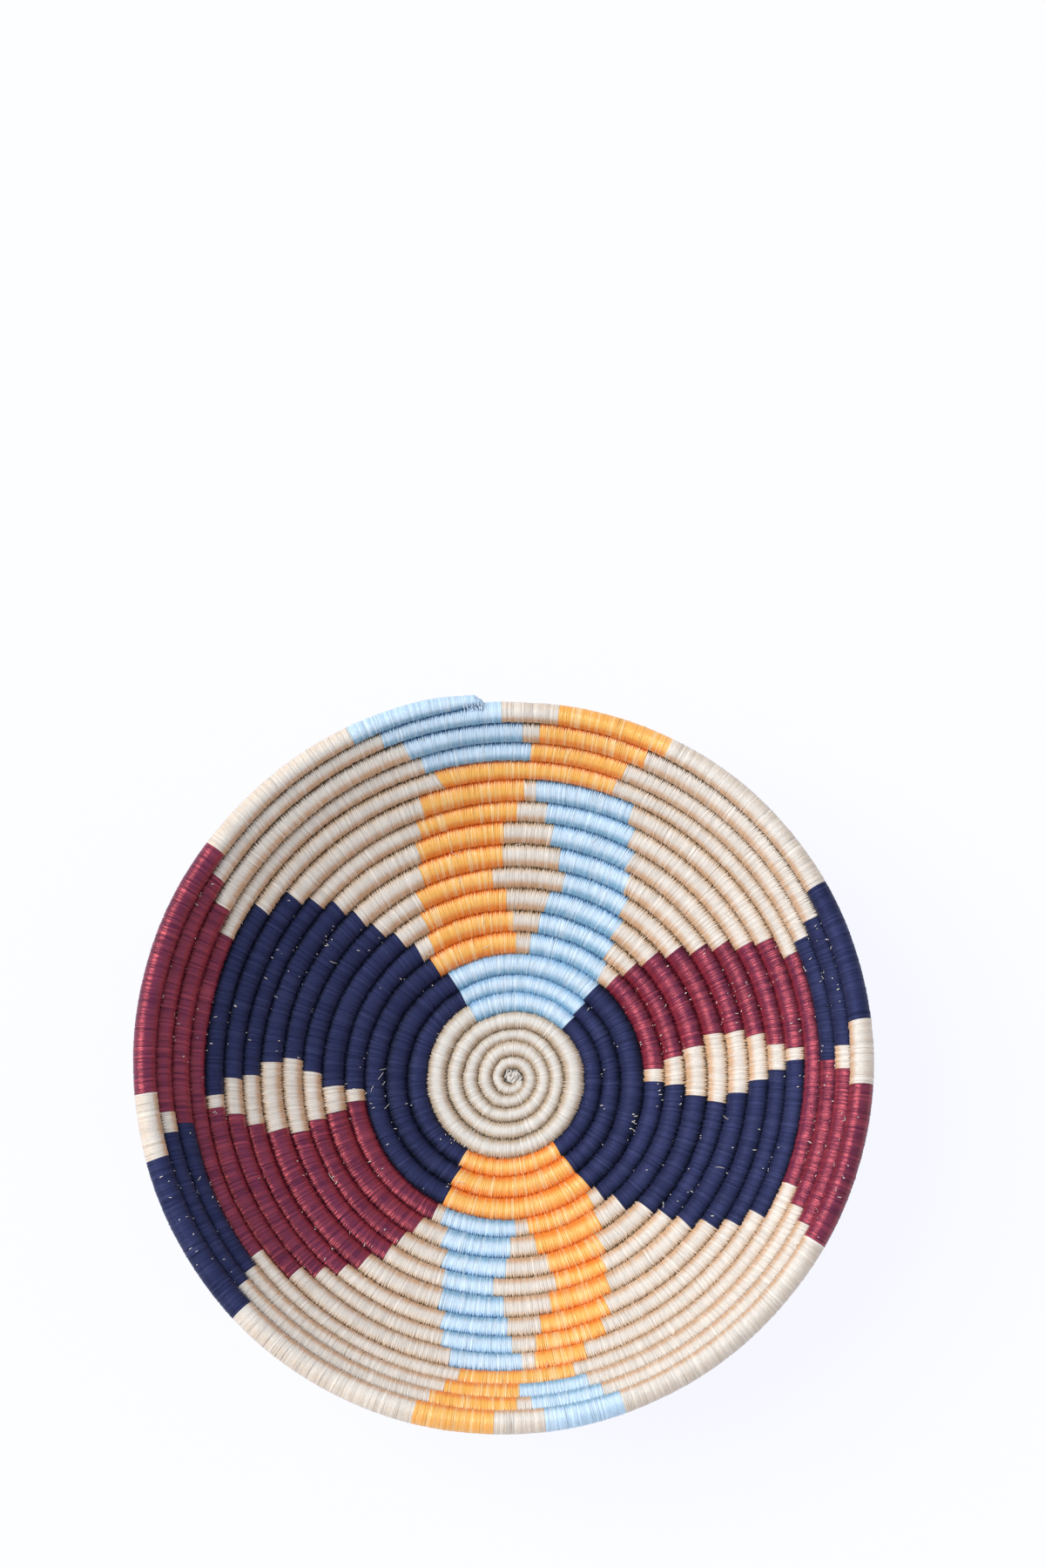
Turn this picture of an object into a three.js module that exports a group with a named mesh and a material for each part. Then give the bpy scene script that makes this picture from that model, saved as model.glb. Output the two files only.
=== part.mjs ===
// Coiled basket: an open bowl made of one long coil of grass, wrapped all along in dyed fibre.
// The stitches of each wrapping catch the row before, and nothing else holds the rows together.
// Millimetres, +Z up. The origin is the middle of the underside, on the surface that the bowl rests on.
// Turns of the coil are counted from the centre, and bearings run clockwise from +Y, seen from above.
import * as THREE from 'three';

// Driving sizes of the coil
const START_THICKNESS = 4.4;
const COIL_THICKNESS = 9.6;
const TAIL_THICKNESS = 4.4;
const WRAPPING_THICKNESS = 0.8;
const GROWING_ROWS = 8;
const FIRST_TURN = 0.6;
const TAPER_BEARING = 287;
const LAST_BEARING = 355;

// Clearances: across the groove between two rows, between the ends of two windings in a row, and
// between a winding and the grass inside it
const GROOVE_GAP = 0.5;
const END_GAP = 0.3;
const GRASS_CLEARANCE = 0.3;

// Shape of the coil's section: the part of its thickness that lies flat against the next row, and
// how deep the underside of the base is pressed flat
const SIDE_SHARE = 0.5;
const FLAT_CUT = 0.5;

// Lean of the wall from level, in degrees, at rows counted from the centre
const WALL_LEAN = [[5.5, 0], [9, 25], [13, 28], [17, 46], [20, 55]];

// Steps in a turn of the coil: fewer in the small rows of the base
const BASE_ROWS = 5;
const STEPS_IN_BASE = 10;
const STEPS_IN_WALL = 20;
const FRAMES_PER_ROW = 40;

const DEGREES_IN_TURN = 360;
const TURN_TOLERANCE = 1e-6;

// Weaving chart: in each row, the bearing where each colour begins. A colour lasts until the next
// one, so the last colour of a row runs on into the row after it.
const FIRST_COLOUR = 'natural';
const CHART = {
  5: '330.5 blue',
  6: '46 navy 145.5 orange 211 navy 330.5 blue',
  7: '44.5 navy 144.5 orange 209 navy 330.5 blue',
  8: '43 navy 143.5 orange 208 navy 327 orange',
  9: '3 natural 9 blue 41 natural 46.5 maroon 86 natural 91 navy 141.5 natural 146 orange '
    + '172.5 natural 177.5 blue 205.5 natural 209 maroon 261.5 natural 266 navy 324.5 natural '
    + '330 orange',
  10: '1.5 natural 11 blue 38 natural 48 maroon 83 natural 92.5 navy 138.5 natural 148 orange '
    + '171 natural 179.5 blue 202 natural 211.5 maroon 258.5 natural 267 navy 321.5 natural '
    + '331.5 orange 359 natural',
  11: '12 blue 36 natural 50 maroon 81 natural 96 navy 134 natural 151.5 orange 168.5 natural '
    + '181 blue 199.5 natural 213.5 maroon 257 natural 271 navy 318 natural 333 orange 355 natural',
  12: '15.5 blue 34 natural 53 maroon 78.5 natural 97.5 navy 132 natural 153.5 orange 167.5 natural '
    + '184.5 blue 198 natural 214.5 maroon 254.5 natural 274 navy 316 natural 336 orange '
    + '358 natural',
  13: '13 blue 31.5 natural 56.5 maroon 79.5 natural 95 navy 130.5 natural 155 orange 170 natural '
    + '181.5 blue 197 natural 217.5 maroon 256 natural 272.5 navy 314 natural 337.5 orange '
    + '358.5 natural',
  14: '10 blue 29.5 natural 59 maroon 81.5 natural 92 navy 127.5 natural 157.5 orange 173 natural '
    + '180.5 blue 195 natural 220 maroon 258 natural 269 navy 311 natural 339.5 orange',
  15: '1.5 natural 8 blue 27.5 natural 62 maroon 84.5 natural 90 navy 124.5 natural 160 orange '
    + '174.5 natural 179.5 blue 194 natural 223 maroon 260.5 natural 268 navy 308.5 natural '
    + '341.5 orange',
  16: '3 natural 5.5 blue 25.5 natural 63.5 maroon 86 natural 88.5 navy 120.5 natural 165 orange '
    + '175 natural 177.5 blue 191.5 natural 226 maroon 262 natural 264.5 navy 302.5 natural '
    + '346.5 orange',
  17: '20.5 natural 68.5 maroon 113 natural 168 orange 189 natural 233 maroon 294.5 natural '
    + '344 blue',
  18: '4 orange 21.5 natural 67 navy 89.5 maroon 116.5 natural 166 blue 178 orange 191 natural '
    + '231 navy 259 maroon 298.5 natural 342 blue',
  19: '2.5 natural 5.5 orange 24.5 natural 65 navy 87.5 natural 91.5 maroon 119 natural 164 blue '
    + '176 natural 178.5 orange 193 natural 229.5 navy 257.5 natural 261 maroon 302 natural '
    + '338.5 blue 359 natural',
  20: '8.5 orange 27.5 natural 61 navy 84 natural 94.5 maroon 121 natural 161.5 blue 174 natural '
    + '182 orange 194.5 natural 226 navy 253.5 natural 264 maroon 305.5 natural 334 blue',
};

const LAST_ROW = Math.max(...Object.keys(CHART).map(Number));

// Colour fields: windings of one colour in neighbouring rows, bound to each other by their stitches.
// Each is found by its colour, its first and last row, and a bearing that its windings all cross.
const FIELDS = [
  ['natural_centre', 'natural', 1, 1, 300],
  ['blue_top_band', 'blue', 6, 8, 5],
  ['navy_right_band', 'navy', 6, 8, 90],
  ['orange_bottom_band', 'orange', 6, 8, 180],
  ['navy_left_band', 'navy', 6, 8, 270],
  ['orange_upper_left_field', 'orange', 8, 15, 350],
  ['blue_upper_right_field', 'blue', 9, 16, 20],
  ['maroon_upper_right_field', 'maroon', 9, 16, 70],
  ['navy_right_field', 'navy', 9, 16, 105],
  ['orange_lower_right_field', 'orange', 9, 16, 166],
  ['blue_lower_left_field', 'blue', 9, 16, 188],
  ['maroon_lower_left_field', 'maroon', 9, 16, 240],
  ['navy_left_field', 'navy', 9, 16, 290],
  ['natural_top_diamond', 'natural', 9, 16, 5],
  ['natural_right_diamond', 'natural', 9, 16, 87],
  ['natural_bottom_diamond', 'natural', 9, 16, 176],
  ['natural_left_diamond', 'natural', 9, 16, 263],
  ['natural_upper_right_block', 'natural', 9, 20, 43],
  ['natural_lower_right_block', 'natural', 9, 20, 143],
  ['natural_lower_left_block', 'natural', 9, 20, 207],
  ['natural_upper_left_block', 'natural', 9, 20, 327],
  ['orange_top_rim', 'orange', 17, 20, 14],
  ['navy_right_rim', 'navy', 18, 20, 76],
  ['maroon_right_rim', 'maroon', 17, 20, 104],
  ['blue_bottom_rim', 'blue', 18, 20, 170],
  ['orange_bottom_rim', 'orange', 17, 20, 185],
  ['navy_left_rim', 'navy', 18, 20, 243],
  ['maroon_left_rim', 'maroon', 17, 20, 280],
  ['blue_top_rim', 'blue', 17, 19, 350],
  ['natural_top_rim_stripe', 'natural', 19, 20, 4],
  ['natural_right_rim_stripe', 'natural', 19, 20, 89],
  ['natural_bottom_rim_stripe', 'natural', 19, 20, 177],
  ['natural_left_rim_stripe', 'natural', 19, 20, 259],
  ['tail_winding', 'blue', 20, 20, 350],
];

const MATERIALS = {
  grass: new THREE.MeshStandardMaterial({ color: 0xb89c62, roughness: 0.9, metalness: 0 }),
  natural: new THREE.MeshStandardMaterial({ color: 0xdccdb8, roughness: 0.7, metalness: 0 }),
  blue: new THREE.MeshStandardMaterial({ color: 0xb4cfe6, roughness: 0.6, metalness: 0 }),
  orange: new THREE.MeshStandardMaterial({ color: 0xf59a45, roughness: 0.6, metalness: 0 }),
  navy: new THREE.MeshStandardMaterial({ color: 0x23264b, roughness: 0.6, metalness: 0 }),
  maroon: new THREE.MeshStandardMaterial({ color: 0x7f2a44, roughness: 0.6, metalness: 0 }),
};

// Course of the coil

const COIL_END = turnAt(LAST_ROW, LAST_BEARING);

// Distance from the centre to the groove on the inner side of the coil, measured along the wall.
function groove(turn) {
  const growth = (COIL_THICKNESS - START_THICKNESS) / GROWING_ROWS;
  const growing = THREE.MathUtils.clamp(turn, 0, GROWING_ROWS);
  const grown = Math.max(turn - GROWING_ROWS, 0);
  return START_THICKNESS * Math.min(turn, GROWING_ROWS) + growth * growing ** 2 / 2 + COIL_THICKNESS * grown;
}

// Share of its room across the rows that the coil fills: all of it, until the tail thins out.
function fullness(turn) {
  const taperStart = turnAt(LAST_ROW, TAPER_BEARING);
  const tapering = THREE.MathUtils.clamp(turn, taperStart, COIL_END);
  return THREE.MathUtils.mapLinear(tapering, taperStart, COIL_END, 1, TAIL_THICKNESS / COIL_THICKNESS);
}

// Turns of the coil from the centre to a bearing in a row.
function turnAt(row, bearing) {
  return row - 1 + bearing / DEGREES_IN_TURN;
}

function leanAt(row) {
  let below = WALL_LEAN[0];
  for (const next of WALL_LEAN) {
    if (row <= next[0]) {
      const share = next === below ? 0 : (row - below[0]) / (next[0] - below[0]);
      return THREE.MathUtils.degToRad(THREE.MathUtils.lerp(below[1], next[1], share));
    }
    below = next;
  }
  return THREE.MathUtils.degToRad(below[1]);
}

// The wall's outline from the centre outwards, through the middle of the coil's thickness.
function wallFrames() {
  const frames = [];
  const step = 1 / FRAMES_PER_ROW;
  let radius = 0;
  let rise = 0;
  for (let row = 0; row <= LAST_ROW + 1 + step; row += step) {
    const restingHeight = (groove(row + 0.5) - groove(row - 0.5)) / 2 - FLAT_CUT;
    frames.push({ radius, height: rise + restingHeight, lean: leanAt(row) });
    const length = groove(row + step) - groove(row);
    const lean = leanAt(row + step / 2);
    radius += length * Math.cos(lean);
    rise += length * Math.sin(lean);
  }
  return frames;
}

const FRAMES = wallFrames();

// Radius and height of a point near the wall: at a row, a distance along it and a distance inwards.
// Nothing reaches below the surface that the bowl rests on.
function wallPoint(row, along, inward) {
  const place = row * FRAMES_PER_ROW;
  const index = Math.min(Math.floor(place), FRAMES.length - 2);
  const share = place - index;
  const [from, to] = [FRAMES[index], FRAMES[index + 1]];
  const lean = THREE.MathUtils.lerp(from.lean, to.lean, share);
  const radius = THREE.MathUtils.lerp(from.radius, to.radius, share);
  const height = THREE.MathUtils.lerp(from.height, to.height, share);
  return [
    radius + along * Math.cos(lean) - inward * Math.sin(lean),
    Math.max(height + along * Math.sin(lean) + inward * Math.cos(lean), 0),
  ];
}

function coilSizes(turn) {
  const share = fullness(turn);
  const thickness = (groove(turn + 1) - groove(turn)) * share;
  return { middle: turn + share / 2, outside: turn + share, half: thickness / 2 };
}

// Sections across the coil at one turn, as rings of points [radius, height]. A winding's ring goes from
// its inner side over the crown to its outer side, and back underneath.
const INNER_TOP = 0;
const OUTER_TOP = 2;
const OUTER_FOOT = 3;

function wallSection(turn) {
  const { middle, outside, half } = coilSizes(turn);
  const side = half * SIDE_SHARE;
  return [
    wallPoint(turn, GROOVE_GAP / 2, side),
    wallPoint(middle, 0, half),
    wallPoint(outside, -GROOVE_GAP / 2, side),
    wallPoint(outside, -GROOVE_GAP / 2, -side),
    wallPoint(middle, 0, -half),
    wallPoint(turn, GROOVE_GAP / 2, -side),
  ];
}

// The windings of the base are pressed flat underneath, where the bowl stands.
function baseSection(turn) {
  const { middle, half } = coilSizes(turn);
  const ring = wallSection(turn);
  const flatReach = (half - GROOVE_GAP / 2) * FLAT_CUT / (half - half * SIDE_SHARE);
  return [
    ...ring.slice(INNER_TOP, OUTER_FOOT + 1),
    wallPoint(middle, flatReach, FLAT_CUT - half),
    wallPoint(middle, -flatReach, FLAT_CUT - half),
    ring.at(-1),
  ];
}

function roundedSection(turn, reach) {
  const { middle } = coilSizes(turn);
  return [
    wallPoint(middle, -reach, 0),
    wallPoint(middle, 0, reach),
    wallPoint(middle, reach, 0),
    wallPoint(middle, 0, -reach),
  ];
}

function boreReach(turn) {
  return coilSizes(turn).half - GROOVE_GAP / 2 - WRAPPING_THICKNESS;
}

function boreSection(turn) {
  return roundedSection(turn, boreReach(turn));
}

function grassSection(turn) {
  return roundedSection(turn, boreReach(turn) - GRASS_CLEARANCE * Math.SQRT2);
}

// The turns at the two ends of the coil's step that a turn falls in. Steps line up from row to row,
// so the facets of neighbouring rows stay parallel.
function stepAround(turn) {
  const steps = turn < BASE_ROWS ? STEPS_IN_BASE : STEPS_IN_WALL;
  const start = Math.floor((turn + TURN_TOLERANCE) * steps) / steps;
  return [start, start + 1 / steps];
}

function stationsBetween(start, end) {
  const stations = [start];
  let next = stepAround(start)[1];
  while (next < end - TURN_TOLERANCE) {
    stations.push(next);
    [, next] = stepAround(next);
  }
  stations.push(end);
  return stations;
}

function placedPoint([radius, height], turn) {
  const bearing = turn * 2 * Math.PI;
  return new THREE.Vector3(radius * Math.sin(bearing), radius * Math.cos(bearing), height);
}

// Corners of a section at any turn, on the straight facets between the coil's steps.
function corners(section, turn) {
  const [from, to] = stepAround(turn);
  const share = (turn - from) / (to - from);
  const far = section(to).map((point) => placedPoint(point, to));
  return section(from).map((point, i) => placedPoint(point, from).lerp(far[i], share));
}

// Skin: triangles between lines of points that follow the coil

class Skin {
  constructor() {
    this.positions = [];
    this.faces = [];
  }

  add(point) {
    this.positions.push(point.x, point.y, point.z);
    return this.positions.length / 3 - 1;
  }

  face(a, b, c) {
    this.faces.push(a, b, c);
  }

  // Joins two lines, each a list of { turn, index }, that start and end side by side.
  strip(left, right) {
    let i = 0;
    let j = 0;
    while (i < left.length - 1 || j < right.length - 1) {
      const leftNext = i < left.length - 1 ? left[i + 1].turn - left[0].turn : Infinity;
      const rightNext = j < right.length - 1 ? right[j + 1].turn - right[0].turn : Infinity;
      if (leftNext <= rightNext) {
        this.face(left[i].index, left[i + 1].index, right[j].index);
        i += 1;
      } else {
        this.face(left[i].index, right[j + 1].index, right[j].index);
        j += 1;
      }
    }
  }

  geometry() {
    const geometry = new THREE.BufferGeometry();
    geometry.setAttribute('position', new THREE.Float32BufferAttribute(this.positions, 3));
    geometry.setIndex(this.faces);
    geometry.computeVertexNormals();
    return geometry;
  }
}

// One line for each corner of a section, with a point at each station. Some corners have more.
function sectionLines(skin, section, stations, moreAt = {}) {
  return section(stations[0]).map((_, corner) => {
    const turns = merged(stations, moreAt[corner] ?? []);
    return turns.map((turn) => ({ turn, index: skin.add(corners(section, turn)[corner]) }));
  });
}

function merged(stations, more) {
  const turns = [...stations, ...more].sort((a, b) => a - b);
  return turns.filter((turn, i) => i === 0 || turn - turns[i - 1] > TURN_TOLERANCE);
}

function between(line, start, end) {
  return line.filter(({ turn }) => turn > start - TURN_TOLERANCE && turn < end + TURN_TOLERANCE);
}

// Windings

function windingRuns() {
  const changes = [{ turn: FIRST_TURN, colour: FIRST_COLOUR }];
  for (const [row, text] of Object.entries(CHART)) {
    const words = text.split(' ');
    for (let i = 0; i < words.length; i += 2) {
      changes.push({ turn: turnAt(Number(row), Number(words[i])), colour: words[i + 1] });
    }
  }
  const ends = [...changes.slice(1).map(({ turn }) => turn), COIL_END];
  return changes.map(({ turn, colour }, i) => (
    { colour, start: turn + halfGapTurns(turn), end: ends[i] - halfGapTurns(ends[i]) }
  ));
}

function halfGapTurns(turn) {
  const [radius] = wallPoint(coilSizes(turn).middle, 0, 0);
  return END_GAP / 2 / (2 * Math.PI * radius);
}

function runCrossing(runs, colour, turn) {
  const run = runs.find((candidate) => candidate.start <= turn && turn <= candidate.end);
  if (!run || run.colour !== colour) {
    throw new Error(`the chart has no ${colour} winding at turn ${turn}`);
  }
  return run;
}

// Where a winding and the one outside it share a groove, in turns of the inner one.
function sharedGroove(inner, outer) {
  return [Math.max(inner.start, outer.start - 1), Math.min(inner.end, outer.end - 1)];
}

// One winding: a tube round the grass. Each side is left open along its joint with a neighbour.
function addWinding(skin, run, section, innerJoint, outerJoint) {
  const stations = stationsBetween(run.start, run.end);
  const innerFoot = section(run.start).length - 1;
  const ring = sectionLines(skin, section, stations, {
    [INNER_TOP]: innerJoint,
    [innerFoot]: innerJoint,
    [OUTER_TOP]: outerJoint,
    [OUTER_FOOT]: outerJoint,
  });
  const bore = sectionLines(skin, boreSection, stations);
  const jointAt = { [OUTER_TOP]: outerJoint, [innerFoot]: innerJoint };
  ring.forEach((line, i) => {
    const next = ring[(i + 1) % ring.length];
    const [from, to] = jointAt[i] ?? [];
    if (from === undefined) {
      skin.strip(line, next);
    } else {
      skin.strip(between(line, run.start, from), between(next, run.start, from));
      skin.strip(between(line, to, run.end), between(next, to, run.end));
    }
  });
  bore.forEach((line, i) => skin.strip(bore[(i + 1) % bore.length], line));
  addEndFace(skin, firstIndices(ring), firstIndices(bore), false);
  addEndFace(skin, lastIndices(ring), lastIndices(bore), true);
  return {
    innerTop: ring[INNER_TOP],
    outerTop: ring[OUTER_TOP],
    outerFoot: ring[OUTER_FOOT],
    innerFoot: ring[innerFoot],
  };
}

function firstIndices(lines) {
  return lines.map((line) => line[0].index);
}

function lastIndices(lines) {
  return lines.map((line) => line.at(-1).index);
}

// The cut end of a winding, between its outer ring and its bore.
function addEndFace(skin, ring, bore, atEnd) {
  const [inside, above, outside, below] = bore;
  const underneath = ring.slice(OUTER_FOOT + 1, -1).map(() => below);
  const partner = [inside, above, outside, outside, ...underneath, inside];
  const face = (a, b, c) => (atEnd ? skin.face(a, c, b) : skin.face(a, b, c));
  ring.forEach((index, i) => {
    const j = (i + 1) % ring.length;
    face(index, ring[j], partner[i]);
    if (partner[i] !== partner[j]) face(ring[j], partner[j], partner[i]);
  });
}

// The stitches that bind a winding to the row before it, across their groove.
function addStitches(skin, inner, outer, [from, to]) {
  const edges = [
    between(inner.outerTop, from, to),
    between(outer.innerTop, from + 1, to + 1),
    between(outer.innerFoot, from + 1, to + 1),
    between(inner.outerFoot, from, to),
  ];
  const [top, nextTop, nextFoot, foot] = edges;
  skin.strip(top, nextTop);
  skin.strip(nextFoot, foot);
  addQuad(skin, firstIndices(edges));
  addQuad(skin, lastIndices(edges).reverse());
}

function addQuad(skin, [a, b, c, d]) {
  skin.face(a, b, c);
  skin.face(a, c, d);
}

function fieldGeometry(runs) {
  const skin = new Skin();
  const joints = runs.slice(1).map((run, i) => sharedGroove(runs[i], run));
  const windings = runs.map((run, i) => {
    const section = run.start < BASE_ROWS - 1 ? baseSection : wallSection;
    const innerJoint = i === 0 ? [] : joints[i - 1].map((turn) => turn + 1);
    const outerJoint = i === runs.length - 1 ? [] : joints[i];
    return addWinding(skin, run, section, innerJoint, outerJoint);
  });
  joints.forEach((joint, i) => addStitches(skin, windings[i], windings[i + 1], joint));
  return skin.geometry();
}

// Grass foundation: one unbroken tube from the whorl to the tail, inside every winding.
function grassGeometry() {
  const skin = new Skin();
  const start = FIRST_TURN + halfGapTurns(FIRST_TURN);
  const lines = sectionLines(skin, grassSection, stationsBetween(start, COIL_END - halfGapTurns(COIL_END)));
  lines.forEach((line, i) => skin.strip(line, lines[(i + 1) % lines.length]));
  addQuad(skin, firstIndices(lines));
  addQuad(skin, lastIndices(lines).reverse());
  return skin.geometry();
}

// Least gap between each loop of a tube and the next, measured on points at its steps and between them.
function leastLoopGap(section, end) {
  let least = Infinity;
  const stations = stationsBetween(FIRST_TURN, end - 1);
  const halfway = stations.slice(1).map((turn, i) => (turn + stations[i]) / 2);
  for (const turn of [...stations, ...halfway]) {
    const beside = corners(section, turn + 1);
    for (const corner of corners(section, turn)) {
      for (const other of beside) least = Math.min(least, corner.distanceTo(other));
    }
  }
  return least.toFixed(2);
}

// Start whorl: the small wound knot that the first turn of the coil closes round.
function whorlGeometry() {
  const stations = stationsBetween(FIRST_TURN, FIRST_TURN + 1 - halfGapTurns(FIRST_TURN));
  const outline = stations.map((turn) => {
    const [radius] = wallPoint(turn, -GROOVE_GAP / 2, 0);
    const { x, y } = placedPoint([radius, 0], turn);
    return new THREE.Vector2(x, y);
  });
  const depth = START_THICKNESS - FLAT_CUT;
  return new THREE.ExtrudeGeometry(new THREE.Shape(outline), { depth, bevelEnabled: false });
}

// Assembly

function namedMesh(name, geometry, material) {
  const mesh = new THREE.Mesh(geometry, material);
  mesh.name = name;
  return mesh;
}

function windingMeshes() {
  const runs = windingRuns();
  const used = new Set();
  const meshes = FIELDS.map(([name, colour, firstRow, lastRow, bearing]) => {
    const members = [];
    for (let row = firstRow; row <= lastRow; row += 1) {
      const run = runCrossing(runs, colour, turnAt(row, bearing));
      if (used.has(run)) throw new Error(`${name} shares a winding with another field`);
      used.add(run);
      members.push(run);
    }
    return namedMesh(name, fieldGeometry(members), MATERIALS[colour]);
  });
  if (used.size !== runs.length) {
    const left = runs.filter((run) => !used.has(run));
    throw new Error(`${left.length} windings lie in no field, the first one at turn ${left[0].start}`);
  }
  return meshes;
}

const basket = new THREE.Group();
basket.add(namedMesh('grass_foundation', grassGeometry(), MATERIALS.grass));
basket.add(namedMesh('start_whorl', whorlGeometry(), MATERIALS.natural));
basket.add(...windingMeshes());

const centreEnd = windingRuns()[0].end;
console.log(`least gap between loops of the grass: ${leastLoopGap(grassSection, COIL_END)} mm`);
console.log(`least gap between loops of the centre winding: ${leastLoopGap(baseSection, centreEnd)} mm`);

export default basket;
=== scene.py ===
# Coiled basket: an open bowl made of one long coil of grass, wrapped all along in dyed fibre.
import math

import bmesh
import bpy
import numpy as np
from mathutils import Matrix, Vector


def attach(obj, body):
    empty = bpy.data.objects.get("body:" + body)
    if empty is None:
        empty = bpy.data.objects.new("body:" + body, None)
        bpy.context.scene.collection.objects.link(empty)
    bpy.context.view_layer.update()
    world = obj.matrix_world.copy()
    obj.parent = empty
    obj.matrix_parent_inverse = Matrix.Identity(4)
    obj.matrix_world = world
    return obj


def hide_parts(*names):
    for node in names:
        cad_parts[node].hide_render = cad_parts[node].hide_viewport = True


# Driving sizes of the coil, in millimetres, as in the part's source. WALL_LEAN gives rows and the
# degrees that the wall leans there
START_THICKNESS = 4.4
COIL_THICKNESS = 9.6
WRAPPING_THICKNESS = 0.8
GROWING_ROWS = 8
FIRST_TURN = 0.6
LAST_BEARING = 355
LAST_ROW = 20
FLAT_CUT = 0.5
WALL_LEAN = ((5.5, 0), (9, 25), (13, 28), (17, 46), (20, 55))
FRAMES_PER_ROW = 40
METRES = 0.001
DEGREES_IN_TURN = 360

# Strands of the wrapping, in millimetres: their width, how far each stands out, and how deep the
# valleys between them are on the crown of a row and in the groove beside the next row
STRAND_WIDTH = 0.86
STRAND_HEIGHT_SPREAD = 0.06
CROWN_VALLEY = 0.10
GROOVE_VALLEY = 0.65
VALLEY_POWER = 4

# Where the rings of each strand lie, how far its edge shifts and how it leans, as shares of its width,
# the fewest strands in a winding, and how many more than the coil's length asks for are drawn
STRAND_RINGS = (0.0, 0.32, 0.68)
STRAND_SHIFT = 0.22
STRAND_LEAN_SPREAD = 0.05
LEAST_STRANDS = 2
SPARE_STRANDS = 2

# The coil's section: steps round it, and the power of its outline, where 2 is round
STEPS_AROUND = 14
SECTION_SQUARENESS = 2.05

# How far the stitches of two neighbouring rows reach into each other, in millimetres, how much this
# changes from strand to strand, and the power that keeps it to the groove
STITCH_BITE = 1.1
STITCH_BITE_SPREAD = 0.55
BITE_POWER = 3

# Unevenness of handwork: waves in each turn, millimetres across the rows, and phase. The waves have
# their whole size from a few turns out. The strands' lean has slow waves of its own
WALL_WAVES = ((0.37, 0.30, 1.0), (1.31, 0.22, 2.2), (2.73, 0.16, 0.4), (6.1, 0.10, 3.0), (13.7, 0.07, 5.1))
WHOLE_WAVES_TURN = 3
SLANT_WAVES = ((1.7, 0.05, 1.0), (4.3, 0.05, 0.0))

# Shape of the hand-built wall, in millimetres, at rows counted from the centre: how far the rows sit
# off the middle, how much wider they are than even ones, and how oval they are, straight and askew
SHAPE_ROWS = (0, 4, 8, 12, 16, 20)
DRIFT_X = (1.1, 0.9, 0.3, 1.0, 0.7, -0.25)
DRIFT_Y = (1.0, 0.2, -0.9, -0.4, 0.2, 1.7)
SWELL = (0.0, -0.8, -0.1, 0.3, 0.9, 0.15)
OVAL_STRAIGHT = (0.0, 0.2, -0.4, -0.4, 0.5, 0.8)
OVAL_ASKEW = (0.0, 0.4, 0.6, 0.5, 0.9, 1.0)

# Rim and tail of the coil: the share of its room that it fills, by bearing in the last row, the shift
# that it gives the grooves beside it, in millimetres, by turn, how far its wrapping reaches beyond the
# grass, in degrees, and how its tip is rounded, in turns and as a share of its thickness
RIM_FULLNESS = 1.05
RIM_ONSET = 0.03
TAIL_BEARINGS = (290, 310, 347, 350, 352, 354, 356)
TAIL_FULLNESS = (1.05, 0.90, 0.70, 0.64, 0.57, 0.51, 0.49)
TAIL_SHIFT_TURNS = (19.78, 19.86, 19.965, 19.974, 19.985, 20.01, 20.1, 20.16)
TAIL_SHIFTS = (0.0, -0.9, -0.6, -0.4, 0.5, -0.6, -0.2, 0.0)
TIP_REACH = 0.8
TIP_ROUNDING = 0.0025
TIP_LEAST = 0.1

# Fanned strands: row, bearing, lean as a share of the width across the row, and reach in degrees
FANS = (
    (16, 347, -0.42, 3.0), (9, 40.5, -0.15, 3.0), (13, 30, -0.15, 3.0), (18, 343, -0.2, 2.5),
    (20, 356.4, -0.5, 1.4),
)

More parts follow.
